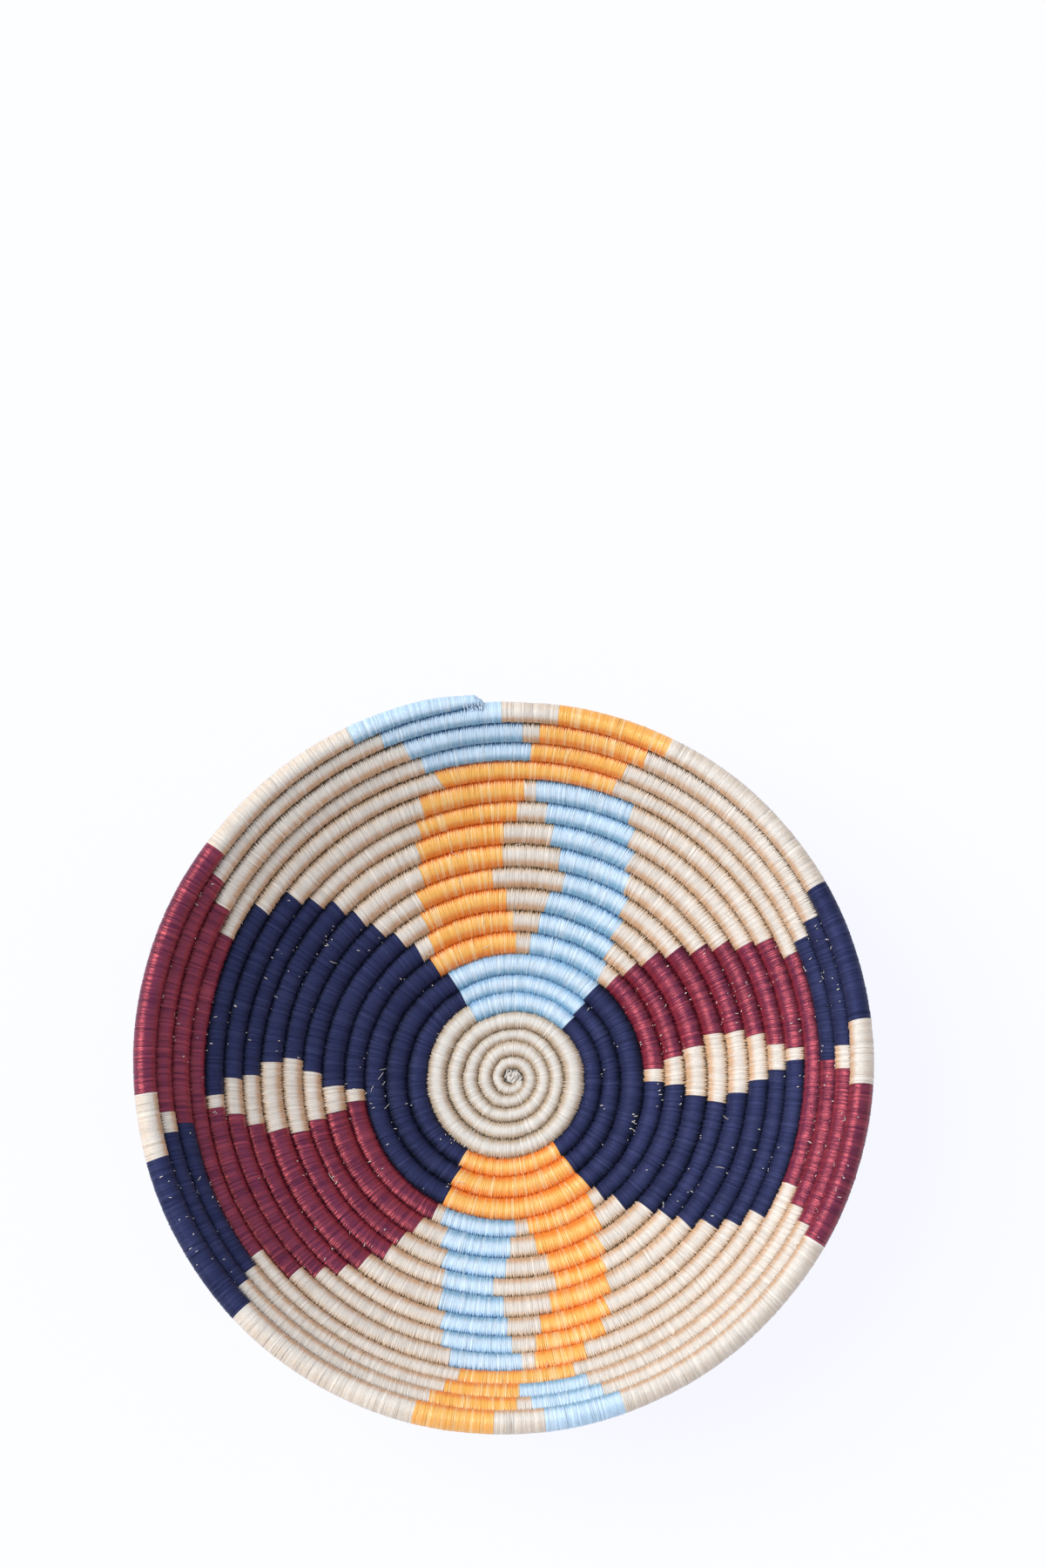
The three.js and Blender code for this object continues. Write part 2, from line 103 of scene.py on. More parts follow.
# In each row, the bearing where each colour begins
FIRST_COLOUR = "natural"
CHART = {
    5: "330.5 blue",
    6: "46 navy 145.5 orange 211 navy 330.5 blue",
    7: "44.5 navy 144.5 orange 209 navy 330.5 blue",
    8: "43 navy 143.5 orange 208 navy 327 orange",
    9: "3 natural 9 blue 41 natural 46.5 maroon 86 natural 91 navy 141.5 natural 146 orange "
       "172.5 natural 177.5 blue 205.5 natural 209 maroon 261.5 natural 266 navy 324.5 natural "
       "330 orange",
    10: "1.5 natural 11 blue 38 natural 48 maroon 83 natural 92.5 navy 138.5 natural 148 orange "
        "171 natural 179.5 blue 202 natural 211.5 maroon 258.5 natural 267 navy 321.5 natural "
        "331.5 orange 359 natural",
    11: "12 blue 36 natural 50 maroon 81 natural 96 navy 134 natural 151.5 orange 168.5 natural "
        "181 blue 199.5 natural 213.5 maroon 257 natural 271 navy 318 natural 333 orange "
        "355 natural",
    12: "15.5 blue 34 natural 53 maroon 78.5 natural 97.5 navy 132 natural 153.5 orange "
        "167.5 natural 184.5 blue 198 natural 214.5 maroon 254.5 natural 274 navy 316 natural "
        "336 orange 358 natural",
    13: "13 blue 31.5 natural 56.5 maroon 79.5 natural 95 navy 130.5 natural 155 orange 170 natural "
        "181.5 blue 197 natural 217.5 maroon 256 natural 272.5 navy 314 natural 337.5 orange "
        "358.5 natural",
    14: "10 blue 29.5 natural 59 maroon 81.5 natural 92 navy 127.5 natural 157.5 orange 173 natural "
        "180.5 blue 195 natural 220 maroon 258 natural 269 navy 311 natural 339.5 orange",
    15: "1.5 natural 8 blue 27.5 natural 62 maroon 84.5 natural 90 navy 124.5 natural 160 orange "
        "174.5 natural 179.5 blue 194 natural 223 maroon 260.5 natural 268 navy 308.5 natural "
        "341.5 orange",
    16: "3 natural 5.5 blue 25.5 natural 63.5 maroon 86 natural 88.5 navy 120.5 natural 165 orange "
        "175 natural 177.5 blue 191.5 natural 226 maroon 262 natural 264.5 navy 302.5 natural "
        "346.5 orange",
    17: "20.5 natural 68.5 maroon 113 natural 168 orange 189 natural 233 maroon 294.5 natural "
        "344 blue",
    18: "4 orange 21.5 natural 67 navy 89.5 maroon 116.5 natural 166 blue 178 orange 191 natural "
        "231 navy 259 maroon 298.5 natural 342 blue",
    19: "2.5 natural 5.5 orange 24.5 natural 65 navy 87.5 natural 91.5 maroon 119 natural 164 blue "
        "176 natural 178.5 orange 193 natural 229.5 navy 257.5 natural 261 maroon 302 natural "
        "338.5 blue 359 natural",
    20: "8.5 orange 27.5 natural 61 navy 84 natural 94.5 maroon 121 natural 161.5 blue 174 natural "
        "182 orange 194.5 natural 226 navy 253.5 natural 264 maroon 305.5 natural 334 blue",
}

# Colour fields: name, colour, first and last row, and a bearing that all its windings cross
FIELDS = (
    ("natural_centre", "natural", 1, 1, 300),
    ("blue_top_band", "blue", 6, 8, 5),
    ("navy_right_band", "navy", 6, 8, 90),
    ("orange_bottom_band", "orange", 6, 8, 180),
    ("navy_left_band", "navy", 6, 8, 270),
    ("orange_upper_left_field", "orange", 8, 15, 350),
    ("blue_upper_right_field", "blue", 9, 16, 20),
    ("maroon_upper_right_field", "maroon", 9, 16, 70),
    ("navy_right_field", "navy", 9, 16, 105),
    ("orange_lower_right_field", "orange", 9, 16, 166),
    ("blue_lower_left_field", "blue", 9, 16, 188),
    ("maroon_lower_left_field", "maroon", 9, 16, 240),
    ("navy_left_field", "navy", 9, 16, 290),
    ("natural_top_diamond", "natural", 9, 16, 5),
    ("natural_right_diamond", "natural", 9, 16, 87),
    ("natural_bottom_diamond", "natural", 9, 16, 176),
    ("natural_left_diamond", "natural", 9, 16, 263),
    ("natural_upper_right_block", "natural", 9, 20, 43),
    ("natural_lower_right_block", "natural", 9, 20, 143),
    ("natural_lower_left_block", "natural", 9, 20, 207),
    ("natural_upper_left_block", "natural", 9, 20, 327),
    ("orange_top_rim", "orange", 17, 20, 14),
    ("navy_right_rim", "navy", 18, 20, 76),
    ("maroon_right_rim", "maroon", 17, 20, 104),
    ("blue_bottom_rim", "blue", 18, 20, 170),
    ("orange_bottom_rim", "orange", 17, 20, 185),
    ("navy_left_rim", "navy", 18, 20, 243),
    ("maroon_left_rim", "maroon", 17, 20, 280),
    ("blue_top_rim", "blue", 17, 19, 350),
    ("natural_top_rim_stripe", "natural", 19, 20, 4),
    ("natural_right_rim_stripe", "natural", 19, 20, 89),
    ("natural_bottom_rim_stripe", "natural", 19, 20, 177),
    ("natural_left_rim_stripe", "natural", 19, 20, 259),
    ("tail_winding", "blue", 20, 20, 350),
)

# Fibre colours on the eye's scale from 0 to 255: on the crown of a row as it stands in the light; on its
# inner and outer side, which are painted shade, and on maroon's inner side a painted warm light; deep in
# its grooves, as painted shade; on the palest strands; and of its shine. Then how much the shade changes
# from strand to strand and from one batch to the next, how far strands turn pale, and roughness and gloss
FIBRES = {
    "centre": {
        "crown": (229, 226, 219), "inner": (194, 171, 144), "outer": (198, 177, 152),
        "groove": (80, 64, 40), "pale": (246, 243, 237), "sheen": (255, 255, 255),
        "spread": 0.13, "batch": 0.04, "streaks": 0.3, "roughness": 0.45, "gloss": 0.4,
    },
    "natural": {
        "crown": (227, 221, 212), "inner": (216, 174, 135), "outer": (216, 181, 143),
        "groove": (84, 64, 36), "pale": (252, 248, 240), "sheen": (255, 255, 255),
        "spread": 0.16, "batch": 0.03, "streaks": 0.3, "roughness": 0.45, "gloss": 0.4,
    },
    "blue": {
        "crown": (208, 232, 252), "inner": (134, 186, 218), "outer": (150, 194, 228),
        "groove": (54, 106, 152), "pale": (238, 247, 255), "sheen": (255, 255, 255),
        "spread": 0.19, "batch": 0.03, "streaks": 0.3, "roughness": 0.45, "gloss": 0.6,
    },
    "orange": {
        "crown": (255, 190, 87), "inner": (255, 139, 42), "outer": (255, 157, 66),
        "groove": (214, 84, 16), "pale": (255, 230, 178), "sheen": (255, 236, 205),
        "spread": 0.11, "batch": 0.03, "streaks": 0.5, "roughness": 0.4, "gloss": 1.5,
    },
    "navy": {
        "crown": (43, 49, 86), "inner": (37, 42, 75), "outer": (24, 29, 47),
        "groove": (12, 14, 20), "pale": (72, 78, 116), "sheen": (170, 180, 255),
        "spread": 0.25, "batch": 0.1, "streaks": 0.2, "roughness": 0.5, "gloss": 0.3,
    },
    "maroon": {
        "crown": (74, 36, 72), "inner": (122, 36, 55), "outer": (43, 19, 40),
        "groove": (38, 18, 28), "pale": (206, 92, 106), "sheen": (255, 124, 126),
        "spread": 0.28, "batch": 0.1, "streaks": 0.2, "roughness": 0.31, "gloss": 2.0,
    },
}
BATCH_STRANDS = 47

# How far a strand's shade goes against its neighbour's, and how much of it are its fine filaments
NEIGHBOUR_SHARE = 0.6
FILAMENT_SHARE = 2.6

# Chances between which a strand grows pale, with the shift that draws them apart from the shades, and
# how much a strand's gloss strays from the mean
PALE_CHANCES = (0.55, 1.0)
PALE_DRAW = 0.5
GLINT = 0.4

# Filaments of the strands: a noise stretched along them, and its bump's strength and depth in metres
FILAMENTS_AROUND = 7.0
FILAMENT_SCALE = 1.7
FILAMENT_DETAIL = 3.0
FILAMENT_BUMP = (0.5, 0.0004)

# Where the colours of a row, which paint its light and shade, pass into each other. Across a strand, 0
# is its middle and 0.5 its edge. Round the section, 1 is the inner side, 0 the crown and -1 the outer
# side, and the groove has 1
VALLEY_EDGES = (0.26, 0.48)
INNER_EDGES = (0.15, 0.8)
OUTER_EDGES = (-0.15, -0.8)
RIM_EDGES = (0.0, 0.1)
GROOVE_SHADE_EDGES = (0.81, 0.94)

# How much painted shade a valley takes from the inner side's colour, and how much sooner the painted
# groove shade begins in a valley and on a strand that is paler than the next
VALLEY_SHADE_SHARE = 0.30
GROOVE_IN_VALLEY = 0.12
GROOVE_CONTRAST = 0.04

# How much of the outer side's colour, which is painted shade, the rim shows
RIM_OUTER_SHARE = 0.3

# Fuzz of fine fibre ends, which lightens sides seen along the surface
FUZZ = 0.3
FUZZ_ROUGHNESS = 0.35

# Where the wall begins to lean, in turns of the coil, and how far the rows' painted light and shade turn
# round the section there, so that the painted lit side faces up, as a share of the whole way round
PAINTED_LIGHT_TURNING = (((6, 9), 0.05), ((16, 18), 0.045))

# Stems of the grass inside the coil, in millimetres: one in the middle and six round it. They stop a
# little short of the coil's end
STEM_RADIUS = 1.08
STEMS_ROUND = 6
STEM_STEP = 5.0
STEM_SIDES = 5
STEM_LAY = 90.0
STEM_SHORTFALL = 7.5

# Grass: scale and detail of its streaks, their colours, roughness, and bump's strength and depth
GRASS_SCALE = 400.0
GRASS_DETAIL = 2.0
GRASS_DARK = (150, 122, 70)
GRASS_PALE = (198, 172, 116)
GRASS_ROUGHNESS = 0.85
GRASS_BUMP = (0.4, 0.0002)

# Loose fibres: radius in millimetres, bend in radians, steps along them, sides, and thickness by place
FIBRE_RADIUS = 0.12
FIBRE_BEND = 0.2
FIBRE_STEPS = 7
FIBRE_SIDES = 4
FIBRE_TAPER = ((0, 0.2, 0.7, 1), (0.5, 1, 1, 0.3))

# Flecks caught in dark windings, in millimetres. They lie in clusters on the sides of the rows, where
# FLECK_SIDE and FLECK_LEAN are in radians, and FLECK_SCATTER in turns along the coil and in radians
# round its section
FLECK_CLUSTERS = 200
FLECKS_IN_CLUSTER = 4
FLECK_RADII = (0.11, 0.24)
FLECK_LENGTHS = (0.3, 1.5)
FLECK_LIFT = 0.3
FLECK_SIDE = 0.75
FLECK_SCATTER = (0.006, 0.35)
FLECK_LEAN = 0.35

# Stray ends on all colours, in millimetres, and how far round from the grooves they keep, in radians
STRAY_ENDS = 60
STRAY_LENGTHS = (1.5, 5.0)
STRAY_LIFTS = (0.1, 0.8)
STRAY_EDGE = 0.4

# Stitches that bridge the groove at the tail's end: how many, the first one's bearing, their step and
# lean round the coil, their places round the section, their lift and radius in millimetres, and
# their thickness by place
BRIDGE_STITCHES = 12
BRIDGE_START = 353.0
BRIDGE_STEP = 0.27
BRIDGE_LEANS = (-0.0008, 0.0026)
BRIDGE_TAIL_ANGLES = (2.3, 1.8, 1.3, 0.8)
BRIDGE_ROW_ANGLES = (2.75, 2.5)
BRIDGE_LIFT = 0.2
BRIDGE_RADIUS = 0.22
BRIDGE_TAPER = ((0, 0.3, 0.8, 1), (0.3, 1, 1, 0.4))

# Start knot: turns of the coil before the first winding, with the distance of its middle from the
# centre and half its thickness, in millimetres
KNOT_TURNS = (0.29, 0.32, 0.38)
KNOT_RADII = (4.5, 4.6, 4.8)
KNOT_HALVES = (1.2, 1.9, 2.2)

# Tangle of strands inside the knot's curl, in millimetres
TANGLE_STRANDS = 70
TANGLE_MIDDLE = (2.3, 1.7)
TANGLE_REACH = 4.2
TANGLE_LOW = 1.0
TANGLE_HIGH = 4.5
TANGLE_RADIUS = 0.40
TANGLE_SIDES = 6
TANGLE_SHIFT = 0.5
TANGLE_BOW = 1.0

# Tangle's strands as shares: how far aside they lie, how much shorter the highest are, how far they
# sink at their ends and away from the middle, and their thickness and taper; and their heading and
# its spread, in radians
TANGLE_ASIDE = 0.85
TANGLE_NARROWING = 0.45
TANGLE_END_DROP = 0.35
TANGLE_SIDE_DROP = 0.3
TANGLE_THICKNESSES = (0.5, 1.1)
TANGLE_TAPER = 0.4
TANGLE_TAPER_POWER = 4
TANGLE_HEADING = (0.2, 0.9)

# Core of matted fibre that fills the curl below the tangle, coloured with a row's painted shade: heights
# and half widths
CORE_HEIGHTS = (0.1, 1.0, 2.2, 3.2, 3.6)
CORE_RADII = (4.3, 4.7, 4.4, 3.0, 0.8)
CORE_SIDES = 24

# Where round the section a loose strand takes its colour from: the lit crown of a row, or its side by the
# groove, which is painted shade
LIT_SIDE = (0.2, 0.3)
DARK_SIDE = (0.11, 0.14)

# Camera, in metres and degrees: it looks down, leaning a little towards the top of the picture
CAMERA_PLACE = (0.0062, -0.1934, 1.6767)
CAMERA_LEAN = 10.91
LENS = 90
SENSOR_HEIGHT = 36

# Light, as name, direction, strength and spread in degrees
LAMPS = (
    ("window_light", (0.58, -0.20, -0.80), 1.68, 40),
    ("low_light", (0.83, -0.30, -0.47), 0.6, 30),
)
LAMP_COLOUR = (253, 252, 250)
SKY_COLOUR = (244, 247, 255)
SKY_STRENGTH = 0.65

# Floor: its reach in metres, its colours by its own light and as the camera sees it, and how much of
# the second the camera sees
FLOOR_REACH = 4
FLOOR_COLOUR = (244, 244, 248)
FLOOR_SEEN_COLOUR = (253, 254, 262)
FLOOR_GLOW = 0.9

# Eye's curve of brightness, as colours are given: straight up to the knee, a power beyond it
EYE_KNEE = 0.04045
EYE_SLOPE = 12.92
EYE_OFFSET = 0.055
EYE_POWER = 2.4

# Sockets of a mix node for colours, where names repeat
MIX_SHARE = 0
MIX_COLOURS = (6, 7)
MIX_RESULT = 2

# Meshes: name of the map of the wrapping, distance that welds points, in metres, and least length
WRAP_MAP = "wrap"
WELD_DISTANCE = 1e-7
LEAST_LENGTH = 1e-6

# Table of lengths along the coil: how many samples, and in millimetres the least radius
TRAVEL_SAMPLES = 4201
LEAST_RADIUS = 1.5

RANDOM_SEED = 20
random_source = np.random.default_rng(RANDOM_SEED)

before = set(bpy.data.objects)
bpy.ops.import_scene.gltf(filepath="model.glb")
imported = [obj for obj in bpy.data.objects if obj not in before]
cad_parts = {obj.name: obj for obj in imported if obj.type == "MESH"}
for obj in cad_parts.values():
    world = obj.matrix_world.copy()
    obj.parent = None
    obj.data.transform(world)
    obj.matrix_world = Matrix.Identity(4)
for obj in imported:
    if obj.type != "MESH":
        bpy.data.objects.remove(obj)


# Course of the coil, in millimetres

def groove(turn):
    """Distance from the centre to the groove on the coil's inner side, measured along the wall."""
    growth = (COIL_THICKNESS - START_THICKNESS) / GROWING_ROWS
    start = START_THICKNESS * np.minimum(turn, GROWING_ROWS)
    growing = growth * np.clip(turn, 0, GROWING_ROWS) ** 2 / 2
    return start + growing + COIL_THICKNESS * np.maximum(turn - GROWING_ROWS, 0)


def turn_at(row, bearing):
    return row - 1 + bearing / DEGREES_IN_TURN


COIL_END = turn_at(LAST_ROW, LAST_BEARING + TIP_REACH)
RIM_START = COIL_END - 1


def fullness(turn):
    """Share of its room across the rows that the coil fills: more on the rim, less on the tail."""
    turns = [RIM_START, RIM_START + RIM_ONSET] + [turn_at(LAST_ROW, bearing) for bearing in TAIL_BEARINGS]
    return np.interp(turn, turns, (1, RIM_FULLNESS) + TAIL_FULLNESS)


def wall_profile():
    """The wall's outline from the centre outwards, through the middle of the coil's thickness."""
    step = 1 / FRAMES_PER_ROW
    rows = np.arange(0, LAST_ROW + 2, step)
    lean_rows, leans = zip(*WALL_LEAN)
    lean = np.radians(np.interp(rows, lean_rows, leans))
    next_lean = np.radians(np.interp(rows + step / 2, lean_rows, leans))
    lengths = groove(rows + step) - groove(rows)
    radius = np.concatenate([[0], np.cumsum(lengths * np.cos(next_lean))[:-1]])
    rise = np.concatenate([[0], np.cumsum(lengths * np.sin(next_lean))[:-1]])
    resting = (groove(rows + 0.5) - groove(rows - 0.5)) / 2 - FLAT_CUT
    return groove(rows), radius, rise + resting, lean


PROFILE = wall_profile()


def wavy(turn, waves):
    """Sum of slow waves along the coil."""
    return sum(size * np.sin(2 * math.pi * rate * turn + phase) for rate, size, phase in waves)


def wobble(turn):
    """How far a groove strays from its even course, in millimetres along the wall."""
    doubled = turn * 4 * math.pi
    oval = (np.interp(turn, SHAPE_ROWS, OVAL_STRAIGHT) * np.cos(doubled)
            + np.interp(turn, SHAPE_ROWS, OVAL_ASKEW) * np.sin(doubled))
    shift = np.interp(turn, SHAPE_ROWS, SWELL) + np.interp(turn, TAIL_SHIFT_TURNS, TAIL_SHIFTS)
    return wavy(turn, WALL_WAVES) * np.clip(turn / WHOLE_WAVES_TURN, 0, 1) + oval + shift


def coil_sides(turn):
    """Distances along the wall of the coil's inner and outer side."""
    inner = groove(turn) + wobble(turn)
    outer = groove(turn + 1) + wobble(turn + 1)
    return inner, inner + (outer - inner) * fullness(turn)


def coil_middle(turn):
    """Radius, height and lean of the middle of the coil, and half its thickness."""
    inner, outer = coil_sides(turn)
    distances, radii, heights, leans = PROFILE
    middle = (inner + outer) / 2
    place = [np.interp(middle, distances, values) for values in (radii, heights, leans)]
    return *place, (outer - inner) / 2


def place_on_coil(turn, middle, along, inward):
    """Points beside the middle of the coil, in metres: some way out along the wall, and some inwards."""
    radius, height, lean = middle
    radius = radius + along * np.cos(lean) - inward * np.sin(lean)
    height = np.maximum(height + along * np.sin(lean) + inward * np.cos(lean), 0)
    bearing = turn * 2 * math.pi
    x = radius * np.sin(bearing) + np.interp(turn, SHAPE_ROWS, DRIFT_X)
    y = radius * np.cos(bearing) + np.interp(turn, SHAPE_ROWS, DRIFT_Y)
    return np.stack([x, y, height], axis=-1) * METRES


# Windings

def winding_runs():
    """All windings in order: colour, and the turns where it starts and ends."""
    changes = [(FIRST_TURN, FIRST_COLOUR)]
    for row, text in CHART.items():
        words = text.split()
        for bearing, colour in zip(words[::2], words[1::2]):
            changes.append((turn_at(row, float(bearing)), colour))
    ends = [turn for turn, _ in changes[1:]] + [COIL_END]
    return [(colour, start, end) for (start, colour), end in zip(changes, ends)]


def run_crossing(runs, colour, turn):
    """The winding of a colour that a turn falls in."""
    for run in runs:
        if run[0] == colour and run[1] <= turn <= run[2]:
            return run
    raise ValueError(f"the chart has no {colour} winding at turn {turn}")


def travelled(turn):
    """Length of the coil from its start to each turn, in millimetres."""
    return np.interp(turn, TRAVEL_TURNS, TRAVEL_LENGTHS)


TRAVEL_TURNS = np.linspace(-1, LAST_ROW, TRAVEL_SAMPLES)
TRAVEL_RADII = np.maximum(coil_middle(TRAVEL_TURNS)[0], LEAST_RADIUS)
TRAVEL_LENGTHS = np.concatenate([[0], np.cumsum(TRAVEL_RADII[1:] * np.diff(TRAVEL_TURNS) * 2 * math.pi)])
RIM_STRAND = float(travelled(RIM_START) / STRAND_WIDTH)
STRAND_COUNT = int(TRAVEL_LENGTHS[-1] / STRAND_WIDTH) + SPARE_STRANDS
STRAND_RISES = random_source.normal(0, STRAND_HEIGHT_SPREAD, STRAND_COUNT)
STRAND_SHIFTS = random_source.uniform(-STRAND_SHIFT, STRAND_SHIFT, STRAND_COUNT)
STRAND_LEANS = random_source.normal(0, STRAND_LEAN_SPREAD, STRAND_COUNT)
STRAND_BITES = 1 + random_source.uniform(-STITCH_BITE_SPREAD, STITCH_BITE_SPREAD, STRAND_COUNT)


def strand_slant(turn):
    """Lean of the strands against the coil: a slow change along it, and single fanned places."""
    slant = wavy(turn, SLANT_WAVES)
    for row, bearing, lean, reach in FANS:
        away = (turn - turn_at(row, bearing)) * DEGREES_IN_TURN
        slant = slant + lean * np.exp(-(away / reach) ** 2)
    return slant


def bite_reach(across):
    """How far stitches reach beyond the coil, in millimetres: most where they bite into the next row."""
    return STITCH_BITE * np.abs(across) ** BITE_POWER


def wound_rings(start, end):
    """Rings along a winding: their turns, ridge height from 0 to 1, strand number and wrap map."""
    first = travelled(start) / STRAND_WIDTH
    last = travelled(end) / STRAND_WIDTH
    strands = max(int(round(last - first)), LEAST_STRANDS)
    width = (last - first) / strands
    begins = first + width * np.arange(strands + 1)
    index = np.floor(begins).astype(int)
    begins[1:-1] += STRAND_SHIFTS[index[1:-1]] * width
    shares = np.array(STRAND_RINGS)
    numbers = (begins[:-1, None] + shares * np.diff(begins)[:, None]).ravel()
    numbers = np.append(numbers, last)
    turn = np.interp(numbers * STRAND_WIDTH, TRAVEL_LENGTHS, TRAVEL_TURNS)
    ridge = np.append(np.tile((shares > 0).astype(float), strands), 0)
    strand = np.append(np.repeat(index[:-1], len(shares)), index[-1])
    wrap = np.append((index[0] + np.arange(strands)[:, None] + shares).ravel(), index[0] + strands)
    return turn, ridge, strand, wrap


def wound_points(turn, ridge, strand, middle, half):
    """Points round the coil at each ring: rings by steps round by three."""
    angle = np.linspace(0, 2 * math.pi, STEPS_AROUND + 1)
    squareness = 2 / SECTION_SQUARENESS
    across = -np.sign(np.cos(angle)) * np.abs(np.cos(angle)) ** squareness
    inward = np.sign(np.sin(angle)) * np.abs(np.sin(angle)) ** squareness
    beside_row = np.where((turn > RIM_START)[:, None] & (across > 0), 0, 1)
    valley = CROWN_VALLEY + (GROOVE_VALLEY - CROWN_VALLEY) * beside_row * across ** VALLEY_POWER
    rise = ridge[:, None] * STRAND_RISES[strand][:, None] - (1 - ridge[:, None]) * valley
    rounding = np.sqrt(np.clip((COIL_END - turn) / TIP_ROUNDING, TIP_LEAST, 1))
    reach = rounding[:, None] * half[:, None] + rise
    slant = strand_slant(turn) + STRAND_LEANS[strand] * ridge
    skew = slant * half / np.maximum(middle[0], START_THICKNESS) / (2 * math.pi)
    columns = [values[:, None] for values in middle]
    bite = (1 + ridge * (STRAND_BITES[strand] - 1))[:, None] * bite_reach(across)
    along = (reach + bite * beside_row) * across
    return place_on_coil(turn[:, None] + skew[:, None] * across, columns, along, reach * inward)


def add_tube(bm, points, wrap, around=(0, 1)):
    """Bends a grid into a closed tube through rings of points, with its wrap map."""
    rings, steps = points.shape[:2]
    grid = bmesh.new()
    grid.loops.layers.uv.new(WRAP_MAP)
    bmesh.ops.create_grid(grid, x_segments=steps - 1, y_segments=rings - 1, size=1, calc_uvs=True)
    mesh = bpy.data.meshes.new("tube")
    grid.to_mesh(mesh)
    grid.free()
    flat = read_values(mesh.vertices, "co", 3)
    flat -= flat.min(axis=0)
    step = np.rint(flat[:, 0] / flat[:, 0].max() * (steps - 1)).astype(int)
    ring = np.rint(flat[:, 1] / flat[:, 1].max() * (rings - 1)).astype(int)
    mesh.vertices.foreach_set("co", points[ring, step].ravel())
    corner = np.empty(len(mesh.loops), dtype=np.int32)
    mesh.loops.foreach_get("vertex_index", corner)
    share = np.interp(step[corner], (0, steps - 1), around)
    mesh.uv_layers[WRAP_MAP].data.foreach_set("uv", np.stack([wrap[ring[corner]], share], axis=1).ravel())
    tube = bmesh.new()
    tube.from_mesh(mesh)
    bmesh.ops.remove_doubles(tube, verts=tube.verts, dist=WELD_DISTANCE)
    for face in tube.faces:
        face.smooth = True
    open_edges = [edge for edge in tube.edges if edge.is_boundary]
    bmesh.ops.holes_fill(tube, edges=open_edges, sides=steps)
    bmesh.ops.recalc_face_normals(tube, faces=tube.faces)
    tube.to_mesh(mesh)
    tube.free()
    bm.from_mesh(mesh)
    bpy.data.meshes.remove(mesh)


def read_values(items, name, width):
    values = np.empty(len(items) * width, dtype=np.float32)
    items.foreach_get(name, values)
    return values.reshape(-1, width)


def add_winding(bm, start, end):
    turn, ridge, strand, wrap = wound_rings(start, end)
    *middle, half = coil_middle(turn)
    add_tube(bm, wound_points(turn, ridge, strand, middle, half), wrap)


# Pieces

def add_object(name, data):
    """Puts a mesh, a light or a camera into the scene."""
    added = bpy.data.objects.new(name, data)
    bpy.context.scene.collection.objects.link(added)
    return added


def add_mesh_object(name, bm, material):
    mesh = bpy.data.meshes.new(name)
    bm.to_mesh(mesh)
    bm.free()
    mesh.materials.append(material)
    return add_object(name, mesh)


def make_piece(name, bm, material):
    """Turns a bmesh into a piece of the basket."""
    piece = add_mesh_object(name, bm, material)
    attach(piece, "root")
    return piece


def make_field(node, windings, material):
    """All the windings of one colour field, as one piece."""
    bm = bmesh.new()
    for _, start, end in windings:
        add_winding(bm, start, end)
    if node == "tail_winding":
        add_bridging_stitches(bm)
    piece = make_piece(f"{node}_fibre", bm, material)
    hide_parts(node)


def make_fields(materials):
    runs = winding_runs()
    for node, colour, first_row, last_row, bearing in FIELDS:
        rows = range(first_row, last_row + 1)
        windings = [run_crossing(runs, colour, turn_at(row, bearing)) for row in rows]
        look = "centre" if node == "natural_centre" else colour
        make_field(node, windings, materials[look])


# Start knot: the coil's wrapped tip, curled up in the middle of the base round a tangle of strands

def add_tangle_strand(bm, number):
    """A short bowed strand across the tangle; later ones lie higher."""
    share = np.linspace(-1, 1, FIBRE_STEPS)
    heading = random_source.normal(*TANGLE_HEADING)
    aside = random_source.uniform(-TANGLE_ASIDE, TANGLE_ASIDE)
    level = TANGLE_LOW + (TANGLE_HIGH - TANGLE_LOW) * number / TANGLE_STRANDS
    reach = TANGLE_REACH * math.sqrt(1 - aside ** 2) * (1 - TANGLE_NARROWING * number / TANGLE_STRANDS)
    forward = reach * share + random_source.normal(0, TANGLE_SHIFT)
    bow = random_source.uniform(-TANGLE_BOW, TANGLE_BOW)
    sideways = TANGLE_REACH * aside + bow * (1 - share ** 2)
    x = TANGLE_MIDDLE[0] + forward * math.sin(heading) + sideways * math.cos(heading)
    y = TANGLE_MIDDLE[1] + forward * math.cos(heading) - sideways * math.sin(heading)
    height = level * (1 - TANGLE_END_DROP * share ** 2) * (1 - TANGLE_SIDE_DROP * aside ** 2)
    path = np.stack([x, y, height], axis=-1) * METRES
    radius = TANGLE_RADIUS * METRES * random_source.uniform(*TANGLE_THICKNESSES)
    radii = radius * (1 - TANGLE_TAPER * share ** TANGLE_TAPER_POWER)
    add_tube(bm, round_path(path, radii, TANGLE_SIDES), number + (share + 1) / 2, LIT_SIDE)


def bridging_stitch(turn, lean):
    """Path of a stitch from the tail's crown over the groove onto the row before it."""
    angles = np.array(BRIDGE_TAIL_ANGLES + BRIDGE_ROW_ANGLES)
    rows_back = np.repeat((0, 1), (len(BRIDGE_TAIL_ANGLES), len(BRIDGE_ROW_ANGLES)))
    turns = turn + np.linspace(0, lean, len(angles)) - rows_back
    *middle, half = coil_middle(turns)
    reach = half + BRIDGE_LIFT + bite_reach(np.cos(angles))
    key = place_on_coil(turns, middle, -reach * np.cos(angles), reach * np.sin(angles))
    share = np.linspace(0, len(angles) - 1, FIBRE_STEPS)
    return np.stack([np.interp(share, np.arange(len(angles)), key[:, axis]) for axis in range(3)], axis=1)


def add_bridging_stitches(bm):
    for number in range(BRIDGE_STITCHES):
        turn = turn_at(LAST_ROW, BRIDGE_START + BRIDGE_STEP * number)
        path = bridging_stitch(turn, random_source.uniform(*BRIDGE_LEANS))
        add_fibre(bm, path, BRIDGE_RADIUS, BRIDGE_TAPER, TANGLE_SIDES)


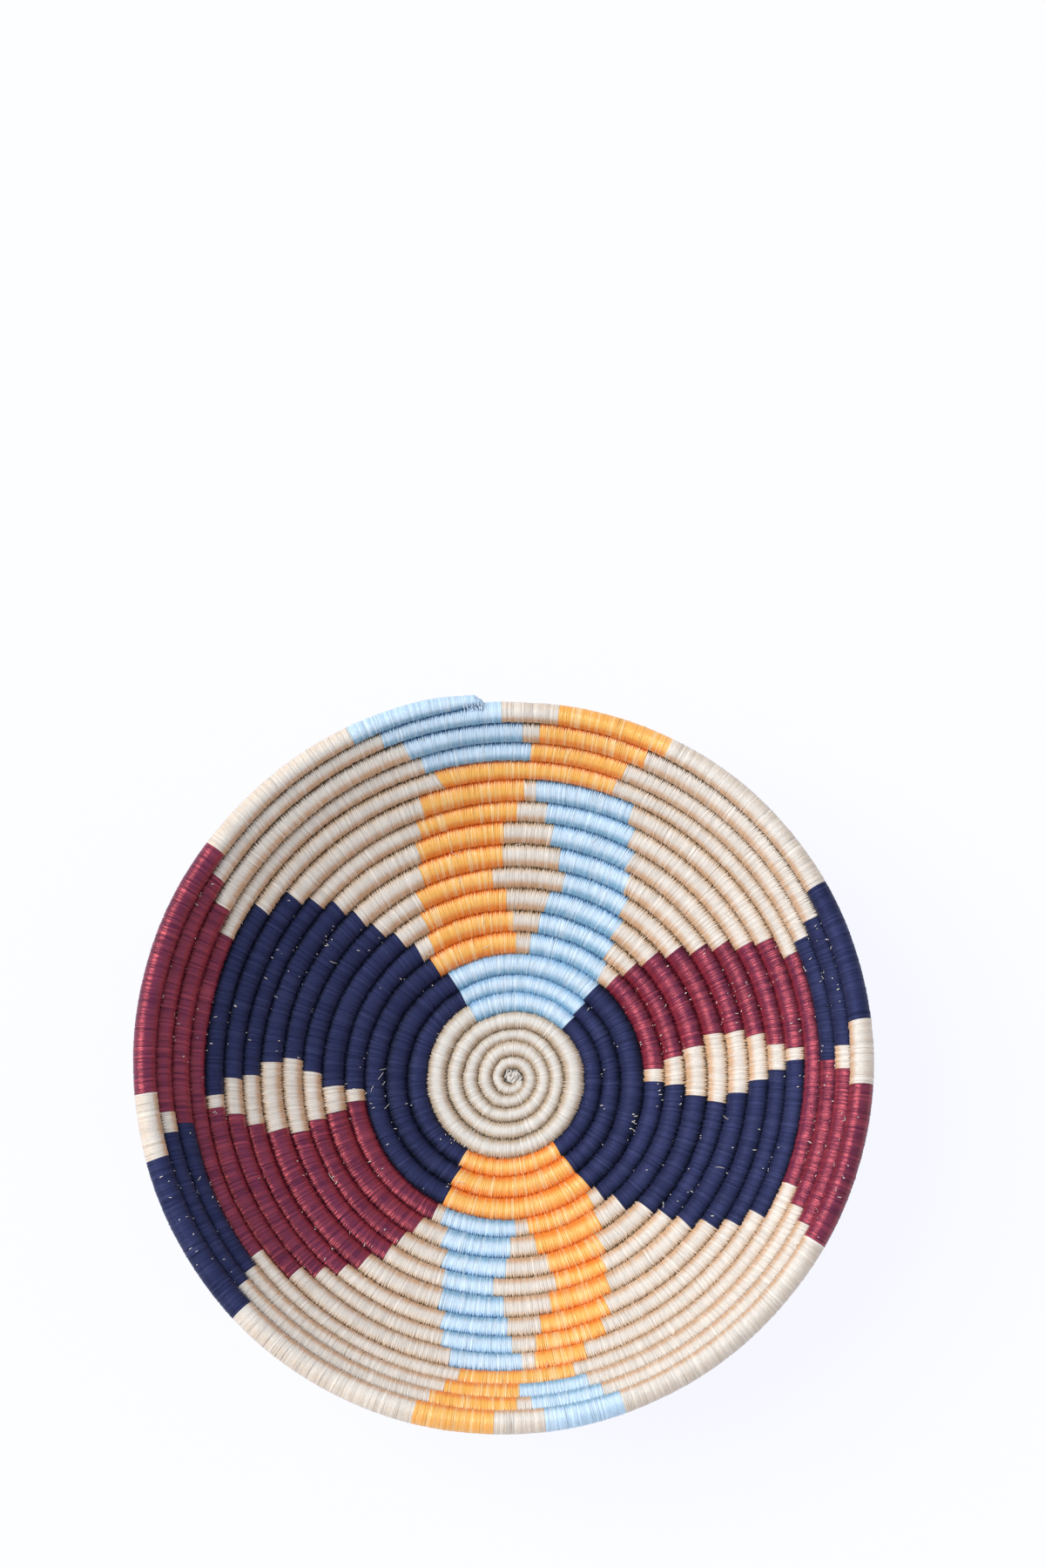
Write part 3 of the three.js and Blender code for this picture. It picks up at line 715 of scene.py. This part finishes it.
def make_start_knot(material):
    turn, ridge, strand, wrap = wound_rings(KNOT_TURNS[0], FIRST_TURN)
    end_radius, end_height, _, end_half = coil_middle(FIRST_TURN)
    turns = (*KNOT_TURNS, FIRST_TURN)
    radius = np.interp(turn, turns, (*KNOT_RADII, end_radius))
    half = np.interp(turn, turns, (*KNOT_HALVES, end_half))
    height = np.full_like(turn, end_height)
    bm = bmesh.new()
    add_tube(bm, wound_points(turn, ridge, strand, (radius, height, np.zeros_like(turn)), half), wrap)
    # The core takes the painted shade of a row's side by the groove
    core = np.array([(*TANGLE_MIDDLE, height) for height in CORE_HEIGHTS]) * METRES
    core_wrap = np.arange(len(CORE_HEIGHTS)) / len(CORE_HEIGHTS)
    add_tube(bm, round_path(core, np.array(CORE_RADII) * METRES, CORE_SIDES), core_wrap, DARK_SIDE)
    for number in range(TANGLE_STRANDS):
        add_tangle_strand(bm, number)
    piece = make_piece("start_knot", bm, material)
    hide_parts("start_whorl")


# Grass stems inside the coil, twisted together

def make_grass_stems(material):
    lengths = np.arange(travelled(KNOT_TURNS[2]), travelled(COIL_END) - STEM_SHORTFALL, STEM_STEP)
    turn = np.interp(lengths, TRAVEL_LENGTHS, TRAVEL_TURNS)
    *middle, half = coil_middle(turn)
    size = (half - WRAPPING_THICKNESS) / (COIL_THICKNESS / 2 - WRAPPING_THICKNESS)
    columns = [values[:, None] for values in middle]
    around = np.linspace(0, 2 * math.pi, STEM_SIDES + 1)
    bm = bmesh.new()
    for stem in range(STEMS_ROUND + 1):
        lay = 2 * math.pi * (stem / STEMS_ROUND + lengths / STEM_LAY)
        out = 0 if stem == STEMS_ROUND else 2 * STEM_RADIUS
        along = size[:, None] * ((out * np.cos(lay))[:, None] + STEM_RADIUS * np.cos(around))
        inward = size[:, None] * ((out * np.sin(lay))[:, None] + STEM_RADIUS * np.sin(around))
        add_tube(bm, place_on_coil(turn[:, None], columns, along, inward), lengths)
    piece = make_piece("grass_stems", bm, material)
    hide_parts("grass_foundation")


# Loose fibres

def round_path(path, radii, sides):
    """Rings of points round a path, in metres."""
    ahead = np.gradient(path, axis=0)
    ahead /= np.linalg.norm(ahead, axis=1)[:, None]
    side = np.cross(ahead, (0, 0, 1))
    side /= np.maximum(np.linalg.norm(side, axis=1), LEAST_LENGTH)[:, None]
    above = np.cross(side, ahead)
    around = np.linspace(0, 2 * math.pi, sides + 1)[None, :, None]
    ring = side[:, None] * np.cos(around) + above[:, None] * np.sin(around)
    return path[:, None] + ring * np.asarray(radii)[:, None, None]


def loose_fibre(turn, angle, length, heading, lift):
    """Path of a fibre that lies on the coil and lifts off at its far end."""
    share = np.linspace(0, 1, FIBRE_STEPS)
    *middle, half = coil_middle(np.full(FIBRE_STEPS, turn))
    bend = heading + FIBRE_BEND * share
    turns = turn + share * length * np.cos(bend) / middle[0] / (2 * math.pi)
    angles = angle + share * length * np.sin(bend) / half
    reach = half + FIBRE_RADIUS + bite_reach(np.cos(angles)) + lift * share ** 2
    return place_on_coil(turns, middle, -reach * np.cos(angles), reach * np.sin(angles))


def add_fibre(bm, path, radius, taper=FIBRE_TAPER, sides=FIBRE_SIDES):
    radii = radius * METRES * np.interp(np.linspace(0, 1, FIBRE_STEPS), *taper)
    add_tube(bm, round_path(path, radii, sides), np.arange(FIBRE_STEPS) / FIBRE_STEPS, LIT_SIDE)


def make_loose_fibres(material):
    """Stray ends of fibre: a few on every colour, and light ones caught in the dark grooves."""
    dark = [run for run in winding_runs() if run[0] in ("navy", "maroon")]
    bm = bmesh.new()
    for _ in range(FLECK_CLUSTERS):
        _, start, end = dark[random_source.integers(len(dark))]
        turn = random_source.uniform(start, end)
        side = random_source.choice((FLECK_SIDE, math.pi - FLECK_SIDE))
        for _ in range(random_source.integers(1, FLECKS_IN_CLUSTER + 1)):
            beside = turn + random_source.normal(0, FLECK_SCATTER[0])
            angle = side + random_source.normal(0, FLECK_SCATTER[1])
            heading = math.pi / 2 + random_source.normal(0, FLECK_LEAN)
            length = random_source.uniform(*FLECK_LENGTHS)
            radius = random_source.uniform(*FLECK_RADII)
            add_fibre(bm, loose_fibre(beside, angle, length, heading, FLECK_LIFT), radius)
    for _ in range(STRAY_ENDS):
        turn = random_source.uniform(1, COIL_END)
        angle = random_source.uniform(STRAY_EDGE, math.pi - STRAY_EDGE)
        heading = random_source.uniform(0, 2 * math.pi)
        length = random_source.uniform(*STRAY_LENGTHS)
        lift = random_source.uniform(*STRAY_LIFTS)
        add_fibre(bm, loose_fibre(turn, angle, length, heading, lift), FIBRE_RADIUS)
    make_piece("loose_fibres", bm, material)


# Materials

def to_linear(colour):
    """A colour seen by eye, from 0 to 255, as the shader's linear values."""
    values = np.array(colour) / 255
    bright = ((values + EYE_OFFSET) / (1 + EYE_OFFSET)) ** EYE_POWER
    return (*np.where(values <= EYE_KNEE, values / EYE_SLOPE, bright), 1)


class Nodes:
    """Short ways to add and join the nodes of one material."""

    def __init__(self, name):
        self.material = bpy.data.materials.new(name)
        self.material.use_nodes = True
        self.tree = self.material.node_tree
        self.shader = self.tree.nodes["Principled BSDF"]

    def add(self, kind, **settings):
        node = self.tree.nodes.new(kind)
        for name, value in settings.items():
            setattr(node, name, value)
        return node

    def join(self, value, socket):
        """Feeds a socket from another one, or sets it to a plain value."""
        if isinstance(value, bpy.types.NodeSocket):
            self.tree.links.new(value, socket)
        else:
            socket.default_value = value

    def fill(self, node, values):
        """Feeds a node's sockets by their names."""
        for name, value in values.items():
            self.join(value, node.inputs[name])

    def math(self, operation, *values):
        node = self.add("ShaderNodeMath", operation=operation)
        for socket, value in zip(node.inputs, values):
            self.join(value, socket)
        return node.outputs[0]

    def remap(self, value, low, high, to_low=0.0, to_high=1.0):
        node = self.add("ShaderNodeMapRange", interpolation_type="SMOOTHSTEP")
        self.fill(node, {
            "Value": value, "From Min": low, "From Max": high, "To Min": to_low, "To Max": to_high,
        })
        return node.outputs["Result"]

    def noise(self, vector, scale, detail):
        node = self.add("ShaderNodeTexNoise")
        self.fill(node, {"Vector": vector, "Scale": scale, "Detail": detail})
        return node.outputs["Fac"]

    def chance(self, value):
        """A random number from 0 to 1 for each value."""
        node = self.add("ShaderNodeTexWhiteNoise", noise_dimensions="1D")
        self.join(value, node.inputs["W"])
        return node.outputs["Value"]

    def combine(self, x, y):
        node = self.add("ShaderNodeCombineXYZ")
        self.fill(node, {"X": x, "Y": y})
        return node.outputs["Vector"]

    def mix(self, share, *colours):
        node = self.add("ShaderNodeMix", data_type="RGBA")
        self.join(share, node.inputs[MIX_SHARE])
        for number, colour in zip(MIX_COLOURS, colours):
            self.join(colour, node.inputs[number])
        return node.outputs[MIX_RESULT]

    def scaled(self, colour, factor):
        node = self.add("ShaderNodeVectorMath", operation="SCALE")
        self.join(colour, node.inputs[0])
        self.join(factor, node.inputs["Scale"])
        return node.outputs[0]

    def bump(self, height, strength, distance):
        node = self.add("ShaderNodeBump")
        self.fill(node, {"Height": height, "Strength": strength, "Distance": distance})
        self.join(node.outputs["Normal"], self.shader.inputs["Normal"])


def painted_light_turn(nodes, strands):
    """How far round the section a row's painted light and shade turn: the lit crown faces up where the
    wall leans.
    """
    turned = 0.0
    for (first, last), share in PAINTED_LIGHT_TURNING:
        reached = [float(travelled(turn) / STRAND_WIDTH) for turn in (first, last)]
        step = nodes.remap(strands, *reached, 0.0, share)
        turned = nodes.math("ADD", step, turned)
    return turned


def section_colour(nodes, look, strands, around, contrast):
    """Colour by place across a strand and round the section, which paints light and shade: a lit crown,
    shaded sides (on maroon a lit inner side), shaded valleys between strands and a shaded groove between
    rows; and on some strands a paler one.
    """
    middle = nodes.math("ABSOLUTE", nodes.math("SUBTRACT", nodes.math("FRACT", strands), 0.5))
    valley = nodes.remap(middle, *VALLEY_EDGES)
    across = nodes.math("COSINE", nodes.math("MULTIPLY", around, 2 * math.pi))
    outwards = nodes.remap(nodes.math("MULTIPLY", across, -1.0), *RIM_EDGES)
    rim_side = nodes.math("MULTIPLY", outwards, nodes.math("GREATER_THAN", strands, RIM_STRAND))
    # Painted light and shade round the section: the crown's colour where lit, the inner and outer colours
    # as painted shade (on maroon a painted lit inner side)
    facing = nodes.math("SUBTRACT", around, painted_light_turn(nodes, strands))
    leaning = nodes.math("COSINE", nodes.math("MULTIPLY", facing, 2 * math.pi))
    inner_share = nodes.remap(leaning, *INNER_EDGES)
    rim_share = nodes.math("MULTIPLY_ADD", rim_side, RIM_OUTER_SHARE - 1, 1.0)
    outer_share = nodes.math("MULTIPLY", nodes.remap(leaning, *OUTER_EDGES), rim_share)
    colour = nodes.mix(inner_share, to_linear(look["crown"]), to_linear(look["inner"]))
    colour = nodes.mix(outer_share, colour, to_linear(look["outer"]))
    # Painted shade in the valleys between strands
    colour = nodes.mix(nodes.math("MULTIPLY", valley, VALLEY_SHADE_SHARE), colour, to_linear(look["inner"]))

    pale_chance = nodes.chance(nodes.math("ADD", nodes.math("FLOOR", strands), PALE_DRAW))
    pale_share = nodes.math("MULTIPLY", nodes.remap(pale_chance, *PALE_CHANCES), look["streaks"])
    colour = nodes.mix(pale_share, colour, to_linear(look["pale"]))

    # Painted shade in the groove between rows, left off the rim's open outer side
    inside_rim = nodes.math("SUBTRACT", 1.0, rim_side)
    beside = nodes.math("MULTIPLY", nodes.math("ABSOLUTE", across), inside_rim)
    beside = nodes.math("MULTIPLY_ADD", valley, GROOVE_IN_VALLEY, beside)
    beside = nodes.math("MULTIPLY_ADD", contrast, GROOVE_CONTRAST, beside)
    return nodes.mix(nodes.remap(beside, *GROOVE_SHADE_EDGES), colour, to_linear(look["groove"]))


def strand_shade(nodes, look, strands, strand_chance, contrast, filament):
    """Brightness from strand to strand, from batch to batch and by filament, about 1 on the average."""
    batch_chance = nodes.chance(nodes.math("FLOOR", nodes.math("MULTIPLY", strands, 1 / BATCH_STRANDS)))
    draws = (strand_chance, batch_chance, filament)
    off_strand, off_batch, off_filament = [nodes.math("SUBTRACT", draw, 0.5) for draw in draws]
    change = nodes.math("MULTIPLY", off_strand, 1 - NEIGHBOUR_SHARE)
    change = nodes.math("MULTIPLY_ADD", contrast, NEIGHBOUR_SHARE, change)
    shade = nodes.math("MULTIPLY_ADD", change, look["spread"], 1.0)
    shade = nodes.math("MULTIPLY_ADD", off_batch, 2 * look["batch"], shade)
    return nodes.math("MULTIPLY_ADD", off_filament, FILAMENT_SHARE * look["spread"], shade)


def fibre_material(name, look):
    """Dyed fibre wrapped round the coil, one strand beside the next."""
    nodes = Nodes(f"{name}_fibre")
    wrap = nodes.add("ShaderNodeUVMap", uv_map=WRAP_MAP)
    parts = nodes.add("ShaderNodeSeparateXYZ")
    nodes.join(wrap.outputs["UV"], parts.inputs["Vector"])
    strands, around = parts.outputs["X"], parts.outputs["Y"]

    number = nodes.math("FLOOR", strands)
    strand_chance = nodes.chance(number)
    contrast = nodes.math("SUBTRACT", strand_chance, nodes.chance(nodes.math("ADD", number, 1.0)))
    filament_place = nodes.combine(strands, nodes.math("MULTIPLY", around, FILAMENTS_AROUND))
    filament = nodes.noise(filament_place, FILAMENT_SCALE, FILAMENT_DETAIL)
    colour = section_colour(nodes, look, strands, around, contrast)
    shade = strand_shade(nodes, look, strands, strand_chance, contrast, filament)
    glint = nodes.math("MULTIPLY_ADD", strand_chance, 2 * GLINT, 1 - GLINT)
    nodes.fill(nodes.shader, {
        "Base Color": nodes.scaled(colour, shade),
        "Roughness": look["roughness"],
        "Specular IOR Level": nodes.math("MULTIPLY", glint, look["gloss"]),
        "Specular Tint": to_linear(look["sheen"]),
        "Sheen Weight": FUZZ,
        "Sheen Roughness": FUZZ_ROUGHNESS,
        "Sheen Tint": to_linear(look["crown"]),
    })
    nodes.bump(filament, *FILAMENT_BUMP)
    return nodes.material


def grass_material():
    nodes = Nodes("grass")
    place = nodes.add("ShaderNodeTexCoord")
    streak = nodes.noise(place.outputs["Object"], GRASS_SCALE, GRASS_DETAIL)
    colour = nodes.mix(streak, to_linear(GRASS_DARK), to_linear(GRASS_PALE))
    nodes.fill(nodes.shader, {"Base Color": colour, "Roughness": GRASS_ROUGHNESS})
    nodes.bump(streak, *GRASS_BUMP)
    return nodes.material


def floor_material():
    """A pale ground in its own light, which the camera sees brighter still."""
    nodes = Nodes("floor")
    nodes.fill(nodes.shader, {
        "Base Color": to_linear(FLOOR_COLOUR), "Roughness": 1.0, "Specular IOR Level": 0.0,
    })
    glow = nodes.add("ShaderNodeEmission")
    nodes.fill(glow, {"Color": to_linear(FLOOR_SEEN_COLOUR)})
    seen = nodes.add("ShaderNodeLightPath")
    mixed = nodes.add("ShaderNodeMixShader")
    seen_share = nodes.math("MULTIPLY", seen.outputs["Is Camera Ray"], FLOOR_GLOW)
    for value, socket in zip((seen_share, nodes.shader.outputs[0], glow.outputs[0]), mixed.inputs):
        nodes.join(value, socket)
    nodes.join(mixed.outputs[0], nodes.tree.nodes["Material Output"].inputs["Surface"])
    return nodes.material


# Studio

def make_floor():
    bm = bmesh.new()
    bmesh.ops.create_grid(bm, x_segments=1, y_segments=1, size=FLOOR_REACH)
    floor = add_mesh_object("floor", bm, floor_material())


def make_light():
    for name, direction, strength, spread in LAMPS:
        light = bpy.data.lights.new(name, "SUN")
        light.energy = strength
        light.color = to_linear(LAMP_COLOUR)[:3]
        light.angle = math.radians(spread)
        lamp = add_object(name, light)
        lamp.rotation_euler = Vector(direction).to_track_quat("-Z", "Y").to_euler()
    world = bpy.data.worlds.new("studio")
    world.use_nodes = True
    background = world.node_tree.nodes["Background"]
    background.inputs["Color"].default_value = to_linear(SKY_COLOUR)
    background.inputs["Strength"].default_value = SKY_STRENGTH
    bpy.context.scene.world = world


def make_camera():
    camera = bpy.data.cameras.new("camera")
    camera.sensor_fit = "VERTICAL"
    camera.sensor_height = SENSOR_HEIGHT
    camera.lens = LENS
    holder = add_object("camera", camera)
    holder.location = CAMERA_PLACE
    holder.rotation_euler = (math.radians(CAMERA_LEAN), 0, 0)
    bpy.context.scene.camera = holder


def main():
    materials = {name: fibre_material(name, look) for name, look in FIBRES.items()}
    make_fields(materials)
    make_start_knot(materials["centre"])
    make_grass_stems(grass_material())
    make_loose_fibres(materials["natural"])
    make_floor()
    make_light()
    make_camera()
    bpy.context.scene.view_settings.view_transform = "Standard"


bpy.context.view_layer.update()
main()
